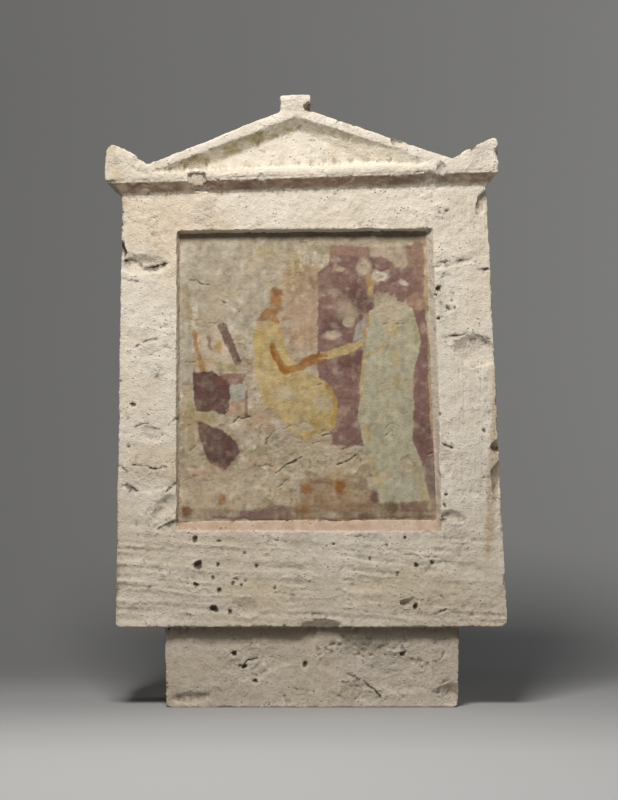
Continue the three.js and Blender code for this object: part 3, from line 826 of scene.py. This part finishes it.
def tooling_masks(points, facing):
    """Where the drag furrows and the comb lines lie on the stone."""
    x, _, z = points.T
    front = ramp(-facing[:, 1], 0.5, 0.9)
    flat = points * (1, 0, 1)
    apron = ramp(z, 96, 106) * (1 - ramp(z, 196, 210)) * (0.55 + 0.45 * lumps(flat, 40, 61))
    slab = ramp(z, 96, 106) * (1 - ramp(z, 600, 611)) * ramp(within(x, z, PICTURE_MOUTH), 2, 8)
    tooled = np.clip(apron, 0, 1) + 0.14 * slab * np.clip(1 + lumps(flat, 60, 62), 0, 2)
    right = ramp(x, 165, 180) * ramp(z, 210, 240) * (1 - ramp(z, 590, 610))
    tenon = 1 - ramp(z, 90, 95)
    combed = np.clip(tenon * (0.6 + 0.6 * lumps(flat, 50, 63)) + right * (0.5 + 0.5 * lumps(flat, 40, 64))
                     + 0.25 * slab, 0, 1)
    return tooled * front, combed * ramp(np.abs(facing[:, 1]), 0.5, 0.9)


def lay(tint, code, cover):
    """One colour laid over the tints where cover says."""
    return tint + (np.array(colour(code)) - tint) * np.clip(cover, 0, 1)[:, None]


def tint_stone(mesh):
    """Colours, dirt and painted light of the stone: stains, fillings, paint on the mouldings, brown dirt and
    painted shade in the hollows, and painted shade and light in the gable, the sunk field and on the tenon.
    """
    points = coordinates(mesh)
    facing = normals_of(mesh)
    edges = edges_of(mesh)
    count = neighbour_count(edges, len(points))
    x, y, z = points.T
    flat = points * (1, 0, 1)
    tint = np.tile(np.array(colour(STONE)), (len(points), 1))
    tint = lay(tint, "dcc8aa", 0.36 * ramp(rough(points, 90, 81), -0.2, 0.8))
    tint = lay(tint, "cbc2b4", 0.45 * ramp(rough(points, 45, 82, 4), 0.0, 0.9))
    tint = lay(tint, "c9b494", 0.35 * ramp(rough(points, 17, 78, 4), 0.25, 0.9))
    tint = lay(tint, "efe6d8", 0.4 * ramp(rough(points, 26, 83), 0.2, 0.9))
    # Darker towards the bottom of the block, and darker over the whole tenon.
    tint = lay(tint, "bdae9a", 0.6 * ramp(-z, -330, -90) * (0.7 + 0.4 * rough(flat, 30, 84)))
    tenon = (z < TENON_TOP) & (y < FRONT_HALF)
    tint = lay(tint, "b3a595", 0.3 * tenon)
    # Painted shadow: a dark band along the top of the tenon, under the slab's overhang.
    tint = lay(tint, "75695a", 0.75 * tenon * ramp(z, 78, 92))
    away = 1 - ramp(-facing[:, 1], 0.2, 0.6)
    tint = lay(tint, "cbb78f", 0.45 * away * (0.6 + 0.4 * rough(points, 40, 85)))
    for code, sx, sz, half_x, half_z, turn, strength in STONE_STAINS:
        reach = oval(x, z, sx, sz, half_x, half_z, turn) + 0.35 * rough(flat, 14, 86)
        tint = lay(tint, code, strength * (1 - ramp(reach, 0.55, 1.25)) * (y < FRONT_HALF))

    # Dark painted moulding under the cornice, and the olive undersides of the raking cornices, with painted light
    # on the gable's downward and upward faces.
    climb = above_cornice(points)
    worn = rough(flat * (1, 1, 2.2), 13, 87, 4)
    bed = ramp(climb, -0.6, 0.8) * (1 - ramp(climb, 12.4, 14.2)) * ramp(-y, 67.6, 69.4)
    tint = lay(tint, "dcc8ae", bed * 0.85)
    tint = lay(tint, "a88d7a", bed * ramp(worn, -0.75, 0.2) * 0.9)
    tint = lay(tint, "7d655a", bed * ramp(rough(flat, 22, 79, 4), -0.1, 0.6) * 0.7 * ramp(x, -130, -60))
    inside = ramp(-within(x, z, TYMPANUM_MOUTH), -0.5, 1.0) * ramp(-y, 66, 68.4)
    under = inside * ramp(-facing[:, 2], 0.12, 0.35)
    # Painted light: the downward faces in the gable are lightened to cream, standing in for light thrown up onto
    # them.
    tint = lay(tint, "f0e6d2", under * 0.9)
    tint = lay(tint, "b9aa74", under * ramp(rough(flat, 12, 88, 4), 0.0, 0.6) * 0.8 * ramp(-x, -60, 40))
    # Painted highlight: the upward faces in the gable are lightened.
    tint = lay(tint, "f1e8d8", inside * ramp(facing[:, 2], 0.3, 0.6) * 0.8)

    # Pink wash left on the picture's sill, and painted shade on the inner sides of the sunk field above the sill.
    mouth = ramp(-within(x, z, PICTURE_MOUTH), -0.6, 0.6) * (y > -68.5) * (y < -40)
    tint = lay(tint, "b8977f", mouth * (1 - ramp(z, 222, 226)) * (0.75 + 0.25 * rough(flat, 9, 89)))
    # Painted shade: the jambs and lintel of the sunk field are darkened.
    tint = lay(tint, "9c8a6f", mouth * ramp(z, 226, 232) * 0.35)

    _, lines, cover = front_cut(points)
    front = (facing[:, 1] < 0.3) & (y < FRONT_SKIN)
    soft = points
    for _ in range(3):
        soft = neighbour_mean(soft, edges, count)
    dip = np.sum((soft - points) * facing, axis=1)
    # Painted shade, partly dirt: the cracks, pits and hollows of the front are darkened through the hollow
    # attribute.
    hollow = 0.85 * ramp(lines, 0.5, 2.2) * front + 0.6 * ramp(dip, 0.3, 1.4) * (1 - 0.7 * cover)
    hollow += 0.12 * cover * front * ramp(rubble(flat, 14, 31), 1.0, 1.5)
    tint = lay(tint, "eae0d0", 0.4 * cover * front * ramp(rough(flat, 20, 91), -0.4, 0.5))
    tint = lay(tint, "efe4d0", 0.4 * ramp(-dip, 0.2, 0.9) * front)
    set_attribute(mesh, "tint", tint)
    set_attribute(mesh, "hollow", np.clip(hollow, 0, 1))
    set_attribute(mesh, "rubble", np.clip(cover * front + 0.4 * ramp(rough(points, 30, 56, 4), 0.4, 0.6), 0, 1))
    _, combed = tooling_masks(points, facing)
    set_attribute(mesh, "combed", combed)


def build_stone(look):
    """The whole block: solid copied, made fine, worn, tooled, thinned and coloured."""
    mesh = STELE.data.copy()
    mesh.materials.clear()
    work = bmesh.new()
    work.from_mesh(mesh)
    bmesh.ops.remove_doubles(work, verts=work.verts, dist=1e-6)
    work.to_mesh(mesh)
    work.free()
    block = new_object("stone_block", mesh)
    remesh = block.modifiers.new("fine", "REMESH")
    remesh.mode = "VOXEL"
    remesh.voxel_size = look.grain * 1.0
    mesh = baked(block, "stone_fine")
    shape_stone(mesh, look)

    tooled, combed = tooling_masks(coordinates(mesh), normals_of(mesh))
    set_attribute(mesh, "tooled", tooled)
    set_attribute(mesh, "combed", combed)
    material = limestone_material()
    block = new_object("stone_tooled", mesh)
    tree = tool_mark_tree()
    marks = block.modifiers.new("tool_marks", "NODES")
    marks.node_group = tree
    sockets = {item.name: item.identifier for item in tree.interface.items_tree if item.in_out == "INPUT"}
    for name, value in (("Furrow spacing", look.furrow_spacing), ("Furrow depth", look.furrow_depth),
                        ("Furrow fall", look.furrow_fall), ("Comb spacing", look.comb_spacing),
                        ("Comb depth", look.comb_depth), ("Stone", material)):
        marks[sockets[name]] = value
    mesh = baked(block, "stone_tooled")

    faces = sum(len(face.vertices) - 2 for face in mesh.polygons)
    block = new_object("stone_thinned", mesh)
    points, facing = coordinates(mesh), normals_of(mesh)
    plain = (points[:, 1] > FRONT_HALF) | (facing[:, 1] > 0.2)
    group = block.vertex_groups.new(name="plain")
    group.add(np.flatnonzero(plain).tolist(), 1.0, "REPLACE")
    group.add(np.flatnonzero(~plain).tolist(), 0.05, "REPLACE")
    thin = block.modifiers.new("thin", "DECIMATE")
    thin.ratio = min(1.0, look.triangles / faces)
    thin.vertex_group = "plain"
    thin.vertex_group_factor = 4e-6
    mesh = baked(block, "stone_whole")
    for name in ("tooled", "combed"):
        layer = mesh.attributes.get(name)
        if layer:
            mesh.attributes.remove(layer)
    set_coordinates(mesh, inside_box(coordinates(mesh)))
    tint_stone(mesh)
    split_stone(mesh, material)


def split_stone(mesh, material):
    """Parts the one block at its own lines, each part closed, so that none has too many faces."""
    mesh.calc_loop_triangles()
    corners = np.empty(len(mesh.loop_triangles) * 3, np.int32)
    mesh.loop_triangles.foreach_get("vertices", corners)
    corners = corners.reshape(-1, 3)
    points = coordinates(mesh)
    centres = points[corners].mean(axis=1)
    upper = np.where(above_cornice(centres) > -PARTING_DROP, 2, 1)
    level = np.where(centres[:, 2] < TENON_TOP - PARTING_DROP, 0, upper)
    fields = {}
    for name, width in (("tint", 4), ("hollow", 1), ("combed", 1), ("rubble", 1)):
        flat = np.empty(len(points) * width, np.float32)
        mesh.attributes[name].data.foreach_get("color" if width == 4 else "value", flat)
        fields[name] = flat.reshape(-1, 4)[:, :3] if width == 4 else flat
    for part, name in enumerate(("stele_tenon", "stele_slab", "stele_head")):
        own = corners[level == part]
        used, own = np.unique(own, return_inverse=True)
        own = own.reshape(-1, 3)
        rim = open_edges(own)
        verts = points[used]
        caps, middles = [], []
        for top in (False, True):
            here = rim[(verts[rim[:, 0], 2] > verts[:, 2].mean()) == top]
            if len(here):
                middle = len(verts) + len(middles)
                middles.append(verts[here.ravel()].mean(axis=0))
                caps.append(np.stack([here[:, 1], here[:, 0], np.full(len(here), middle)], axis=1))
        faces = np.concatenate([own] + caps)
        if len(faces) >= MOST_TRIANGLES:
            raise RuntimeError(f"{name} has {len(faces)} triangles")
        verts = np.concatenate([verts, middles])
        piece = bpy.data.meshes.new(name)
        piece.from_pydata((verts * MM).tolist(), [], faces.tolist())
        piece.update()
        for field_name, values in fields.items():
            values = values[used]
            extra = np.zeros((len(middles),) + values.shape[1:])
            set_attribute(piece, field_name, np.concatenate([values, extra]))
        made = finish_piece(name, piece, material)
        sharp = np.zeros(len(made.data.edges), bool)
        keys = {tuple(sorted(pair)) for pair in rim.tolist()}
        ends = edges_of(made.data)
        sharp[[i for i, pair in enumerate(ends.tolist()) if tuple(sorted(pair)) in keys]] = True
        layer = made.data.attributes.new("sharp_edge", "BOOLEAN", "EDGE")
        layer.data.foreach_set("value", sharp)
    bpy.data.meshes.remove(mesh)


def open_edges(triangles):
    """The edges that only one triangle uses, in that triangle's own order."""
    pairs = np.concatenate([triangles[:, (0, 1)], triangles[:, (1, 2)], triangles[:, (2, 0)]])
    key = np.sort(pairs, axis=1).astype(np.int64)
    key = key[:, 0] * (triangles.max() + 1) + key[:, 1]
    _, first, times = np.unique(key, return_index=True, return_counts=True)
    return pairs[first[times == 1]]


# The painted picture.

def paint_picture(x, z, flat):
    """The paint layers in order, as linear colours, with a painted shadow along the top under the lintel."""
    tint = np.tile(np.array(colour("bbab93")), (len(x), 1))
    for code, size, low, high, strength in (("b4ad9f", 60, -0.2, 0.7, 0.6), ("a98b62", 34, 0.0, 0.6, 0.6),
                                            ("b0917a", 22, 0.0, 0.6, 0.6), ("8f8462", 15, 0.15, 0.7, 0.65),
                                            ("d3c8b4", 9, 0.2, 0.7, 0.7), ("7f6c52", 6, 0.3, 0.8, 0.65)):
        tint = lay(tint, code, strength * ramp(rough(flat, size, 95 + size, 4), low, high))
    wobble_x = x + 1.7 * lumps(flat, 11, 103) + 0.9 * lumps(flat, 4, 104) + 0.5 * lumps(flat, 2.2, 109)
    wobble_z = z + 1.7 * lumps(flat, 11, 105) + 0.9 * lumps(flat, 4, 106) + 0.5 * lumps(flat, 2.2, 110)
    wear = ramp(rough(flat, 7, 107, 4), -0.05, 0.7) * 0.85 + ramp(rough(flat, 24, 108, 4), 0.0, 0.7) * 0.6
    smudge = rough(flat, 9, 121, 4)
    for kind, name, shape, *size, strength, patchy in PAINT_LAYERS:
        if kind == "area":
            cover = np.clip(0.5 - within(wobble_x, wobble_z, shape) / size[0], 0, 1)
        elif kind == "spot":
            cover = 1 - ramp(oval(wobble_x, wobble_z, *shape) + 0.35 * smudge, 0.5, 1.25)
        else:
            cover = np.clip((size[0] / 2 - along(wobble_x, wobble_z, shape)) / 1.2 + 0.5, 0, 1)
        tint = lay(tint, PALETTE[name], cover * strength * (1 - np.clip(patchy * wear, 0, 1)))
    tint = lay(tint, "a39a8a", 0.5 * ramp(flat[:, 2], 545, 556) * (x > 0))
    # Painted shadow: a dark band along the top of the picture, under the lintel.
    tint = lay(tint, "6e6252", 0.65 * ramp(flat[:, 2], 549, 559))
    grain = 1 + 0.18 * rough(flat, 5, 119, 3) + 0.12 * rough(flat, 18, 120, 3)
    grain = grain + 0.10 * rough(flat * (1, 1, 0.2), 4.5, 122, 2)
    return tint * grain[:, None]


def build_picture(look):
    """A thin plate of painted lime ground let into the sunk field."""
    across = look.columns
    up = int(across * 1.12)
    s, t = np.meshgrid(np.linspace(0, 1, across), np.linspace(0, 1, up))
    s, t = s.ravel(), t.ravel()
    corners = np.array(PICTURE_FLOOR, float) + np.array(((-1, -1), (1, -1), (1, 1), (-1, 1))) * PLATE_LAP
    place = ((1 - s) * (1 - t))[:, None] * corners[0] + (s * (1 - t))[:, None] * corners[1]
    place = place + (s * t)[:, None] * corners[2] + ((1 - s) * t)[:, None] * corners[3]
    x, z = place.T
    flat = np.stack([x, np.zeros(len(x)), z], axis=1)
    warp_x, warp_z = strayed(flat, 111)
    losses = tuple((px, pz, 2 * hx, 2 * hz, turn, deep) for px, pz, hx, hz, turn, deep in LOSSES)
    cover, deep = patch_cover(warp_x, warp_z, flat, losses)
    crumble = np.clip(rubble(flat, 11, 113) / 1.3, 0, 1)
    cracks = crack_depth(warp_x, warp_z, flat, GROUND_CRACKS, 1.2)
    depth = 0.4 + 0.35 * lumps(flat, 50, 114) + 0.28 * rough(flat, 10, 115, 4) + 0.16 * rough(flat, 4, 116)
    depth = depth + 1.25 * deep * (0.1 + 0.9 * crumble) + np.minimum(cracks, 3.2)
    y = FLOOR_FRONT + np.clip(depth, 0, PLATE_LOSS)
    back = FLOOR_FRONT + PLATE_THICK

    # Closed plate: front grid, four thin sides, and a back fanned from its middle.
    grid = np.arange(across * up).reshape(up, across)
    faces = np.stack([grid[:-1, :-1], grid[:-1, 1:], grid[1:, 1:], grid[1:, :-1]], axis=-1).reshape(-1, 4)
    rim = np.concatenate([grid[0, :-1], grid[:-1, -1], grid[-1, :0:-1], grid[:0:-1, 0]])
    ring = np.arange(len(rim)) + across * up
    middle = across * up + len(rim)
    verts = np.concatenate([np.stack([x, y, z], axis=1),
                            np.stack([x[rim], np.full(len(rim), back), z[rim]], axis=1),
                            [[x.mean(), back, z.mean()]]])
    turned, turned_ring = np.roll(rim, -1), np.roll(ring, -1)
    polygons = faces.tolist() + np.stack([turned, rim, ring, turned_ring], axis=1).tolist()
    polygons += np.stack([np.full(len(ring), middle), turned_ring, ring], axis=1).tolist()
    mesh = bpy.data.meshes.new("picture_ground")
    mesh.from_pydata((verts * MM).tolist(), [], polygons)
    mesh.update()

    flat = verts * (1, 0, 1)
    extra = len(verts) - len(x)

    def pad(values):
        """Values of the front grid, with nothing on the sides and back."""
        return np.concatenate([values, np.zeros(extra)])

    tint = paint_picture(verts[:, 0], verts[:, 2], flat)
    bare = pad(cover * (0.55 + 0.45 * crumble) + ramp(cracks, 0.4, 1.2))
    tint = lay(tint, "b3a48a", 0.85 * ramp(bare, 0.35, 0.75))
    tint = lay(tint, "c8b99f", 0.6 * ramp(bare, 0.5, 0.9) * ramp(rough(flat, 6, 117), 0.0, 0.7))
    set_attribute(mesh, "tint", tint)
    set_attribute(mesh, "loss", np.clip(pad(0.3 * cover) + 0.5 * ramp(rough(flat, 30, 118), 0.0, 1.2), 0, 1))
    # Dirt and painted shade in the cracks and deep losses of the ground.
    crack_dirt_and_shade = ramp(cracks, 0.5, 2.0) * 0.9 + 0.45 * cover * ramp(crumble, 0.62, 0.85) * ramp(deep, 0.8, 2.2)
    set_attribute(mesh, "hollow", np.clip(pad(crack_dirt_and_shade), 0, 1))
    finish_piece("picture_ground", mesh, painted_material())


# The stage.

def studio_material(look):
    """Matte seamless paper, pale on the floor and greyer up the wall, its darkening towards the wall partly painted
    shade where the light falls off behind the stele, and clear from its rear face.
    """
    material = bpy.data.materials.new("studio_paper")
    material.use_nodes = True
    tree = material.node_tree
    tree.nodes.clear()
    surface = add(tree, "ShaderNodeBsdfPrincipled", {"Roughness": 0.9, "Specular IOR Level": 0.1})
    rear = add(tree, "ShaderNodeNewGeometry").outputs["Backfacing"]
    clear = add(tree, "ShaderNodeBsdfTransparent").outputs[0]
    one_sided = add(tree, "ShaderNodeMixShader", {0: rear, 1: surface.outputs[0], 2: clear})
    add(tree, "ShaderNodeOutputMaterial", {"Surface": one_sided.outputs[0]})
    back = add(tree, "ShaderNodeSeparateXYZ",
               {"Vector": add(tree, "ShaderNodeTexCoord").outputs["Object"]}).outputs["Y"]
    # Partly painted shade: the pale floor turns to the wall's grey from 0.5 m before the stele to 0.35 m behind it.
    shade = mixed(tree, between(tree, back, -0.5, 0.35), tuple(look.floor_colour) + (1.0,),
                  tuple(look.wall_colour) + (1.0,))
    tree.links.new(shade, surface.inputs["Base Color"])
    return material


def area_light(name, place, target, size, power, tone):
    light = bpy.data.lights.new(name, "AREA")
    light.shape = "RECTANGLE"
    light.size, light.size_y = size
    light.energy = power
    light.color = tone
    thing = bpy.data.objects.new(name, light)
    bpy.context.scene.collection.objects.link(thing)
    thing.location = place
    thing.rotation_euler = (Vector(target) - Vector(place)).to_track_quat("-Z", "Y").to_euler()
    return thing


def build_stage(look):
    """Pale floor that curves up into a grey wall, soft light from above and the left, and the camera."""
    profile = [(-SWEEP_REACH, 0.0), (-1.5, 0.0), (-0.4, 0.0), (SWEEP_START, 0.0)]
    steps = 16
    for step in range(1, steps + 1):
        angle = math.radians(90 * step / steps)
        profile.append((SWEEP_START + SWEEP_RADIUS * math.sin(angle), SWEEP_RADIUS * (1 - math.cos(angle))))
    profile.append((SWEEP_START + SWEEP_RADIUS, SWEEP_REACH))
    verts = [(side * SWEEP_REACH, y, z) for y, z in profile for side in (-1, 1)]
    faces = [(2 * i, 2 * i + 1, 2 * i + 3, 2 * i + 2) for i in range(len(profile) - 1)]
    mesh = bpy.data.meshes.new("studio_sweep")
    mesh.from_pydata(verts, [], faces)
    mesh.materials.append(studio_material(look))
    mesh.shade_smooth()
    sweep = new_object("studio_sweep", mesh)
    key = area_light("key_light", (-0.22, -1.2, 1.68), (0.05, 0.0, 0.75), (0.5, 0.45), look.key_power,
                     (1.0, 0.985, 0.96))
    fill = area_light("fill_light", (1.4, -2.6, 1.0), (0.0, 0.0, 0.3), (1.6, 1.6), look.fill_power,
                      (0.97, 0.98, 1.0))
    wall = area_light("wall_light", (1.5, 0.35, 0.9), (0.9, 1.4, 0.6), (1.0, 1.0), look.wall_power, (1.0, 1.0, 1.0))

    scene = bpy.context.scene
    world = bpy.data.worlds.new("studio_air")
    world.use_nodes = True
    world.node_tree.nodes["Background"].inputs["Color"].default_value = grey(1.0)
    world.node_tree.nodes["Background"].inputs["Strength"].default_value = look.air_light
    scene.world = world
    scene.view_settings.view_transform = "Standard"
    lens = bpy.data.cameras.new("camera")
    lens.lens = CAMERA_LENS
    camera = bpy.data.objects.new("camera", lens)
    scene.collection.objects.link(camera)
    camera.location = CAMERA_PLACE
    camera.rotation_euler = (math.radians(90), 0, 0)
    scene.camera = camera


class StoneLook(bpy.types.PropertyGroup):
    """Sizes of the stone's grain, wear and tool marks"""
    grain: bpy.props.FloatProperty(name="Mesh grain", description="Size of the fine mesh the damage is cut in",
                                   default=0.00115, min=0.0008, unit="LENGTH")
    triangles: bpy.props.IntProperty(name="Triangles", description="Faces kept after thinning", default=280000)
    edge_wear: bpy.props.FloatProperty(name="Edge wear", description="How far the sharp edges are rounded off",
                                       default=0.8, min=0.0, max=2.0)
    furrow_spacing: bpy.props.FloatProperty(name="Furrow spacing", description="Between the long drag furrows",
                                            default=0.0072, unit="LENGTH")
    furrow_depth: bpy.props.FloatProperty(name="Furrow depth", description="Depth of the long drag furrows",
                                          default=0.0026, unit="LENGTH")
    furrow_fall: bpy.props.FloatProperty(name="Furrow fall", description="How much the furrows drop to the right",
                                         default=0.065)
    comb_spacing: bpy.props.FloatProperty(name="Comb spacing", description="Between the upright comb lines",
                                          default=0.0042, unit="LENGTH")
    comb_depth: bpy.props.FloatProperty(name="Comb depth", description="Depth of the upright comb lines",
                                        default=0.0011, unit="LENGTH")


class PictureLook(bpy.types.PropertyGroup):
    """Fineness of the painted ground"""
    columns: bpy.props.IntProperty(name="Columns", description="Points across the painted ground", default=284)


class StageLook(bpy.types.PropertyGroup):
    """Light and colours of the stage"""
    floor_colour: bpy.props.FloatVectorProperty(name="Floor", description="Colour of the floor", size=3,
                                                default=colour("c4c4c4"), subtype="COLOR")
    wall_colour: bpy.props.FloatVectorProperty(name="Wall", description="Colour of the wall", size=3,
                                               default=colour("8c8c8c"), subtype="COLOR")
    key_power: bpy.props.FloatProperty(name="Key light", description="Power of the main light", default=34.0)
    fill_power: bpy.props.FloatProperty(name="Fill light", description="Power of the fill light", default=1.5)
    wall_power: bpy.props.FloatProperty(name="Wall light", description="Power of the wall light", default=9.0)
    air_light: bpy.props.FloatProperty(name="Air light", description="Light from all round", default=0.035)


class STELE_OT_stone(bpy.types.Operator):
    """Makes the worn and tooled limestone block"""
    bl_idname = "stele.stone"
    bl_label = "Worn stone"

    def execute(self, context):
        build_stone(context.scene.stele_stone_look)
        return {"FINISHED"}


class STELE_OT_picture(bpy.types.Operator):
    """Makes the painted ground in the sunk field"""
    bl_idname = "stele.picture"
    bl_label = "Painted ground"

    def execute(self, context):
        build_picture(context.scene.stele_picture_look)
        return {"FINISHED"}


class STELE_OT_stage(bpy.types.Operator):
    """Makes the floor, the lights and the camera"""
    bl_idname = "stele.stage"
    bl_label = "Stage"

    def execute(self, context):
        build_stage(context.scene.stele_stage_look)
        return {"FINISHED"}


class STELE_PT_panel(bpy.types.Panel):
    """Shows the settings of the stone, the picture and the stage, each with the button that builds it"""
    bl_idname = "STELE_PT_panel"
    bl_label = "Painted grave stele"
    bl_space_type = "VIEW_3D"
    bl_region_type = "UI"
    bl_category = "Stele"

    def draw(self, context):
        for look, operator in (("stele_stone_look", STELE_OT_stone), ("stele_picture_look", STELE_OT_picture),
                               ("stele_stage_look", STELE_OT_stage)):
            box = self.layout.box()
            group = getattr(context.scene, look)
            for name in group.__annotations__:
                box.prop(group, name)
            box.operator(operator.bl_idname)


CLASSES = (StoneLook, PictureLook, StageLook, STELE_OT_stone, STELE_OT_picture, STELE_OT_stage, STELE_PT_panel)
LOOKS = {"stele_stone_look": StoneLook, "stele_picture_look": PictureLook, "stele_stage_look": StageLook}


def register():
    for kind in CLASSES:
        bpy.utils.register_class(kind)
    for name, group in LOOKS.items():
        setattr(bpy.types.Scene, name, bpy.props.PointerProperty(type=group))


def unregister():
    for name in LOOKS:
        delattr(bpy.types.Scene, name)
    for kind in reversed(CLASSES):
        bpy.utils.unregister_class(kind)


def main():
    register()
    bpy.ops.stele.stage()
    bpy.ops.stele.stone()
    bpy.ops.stele.picture()


if __name__ == "__main__":
    main()
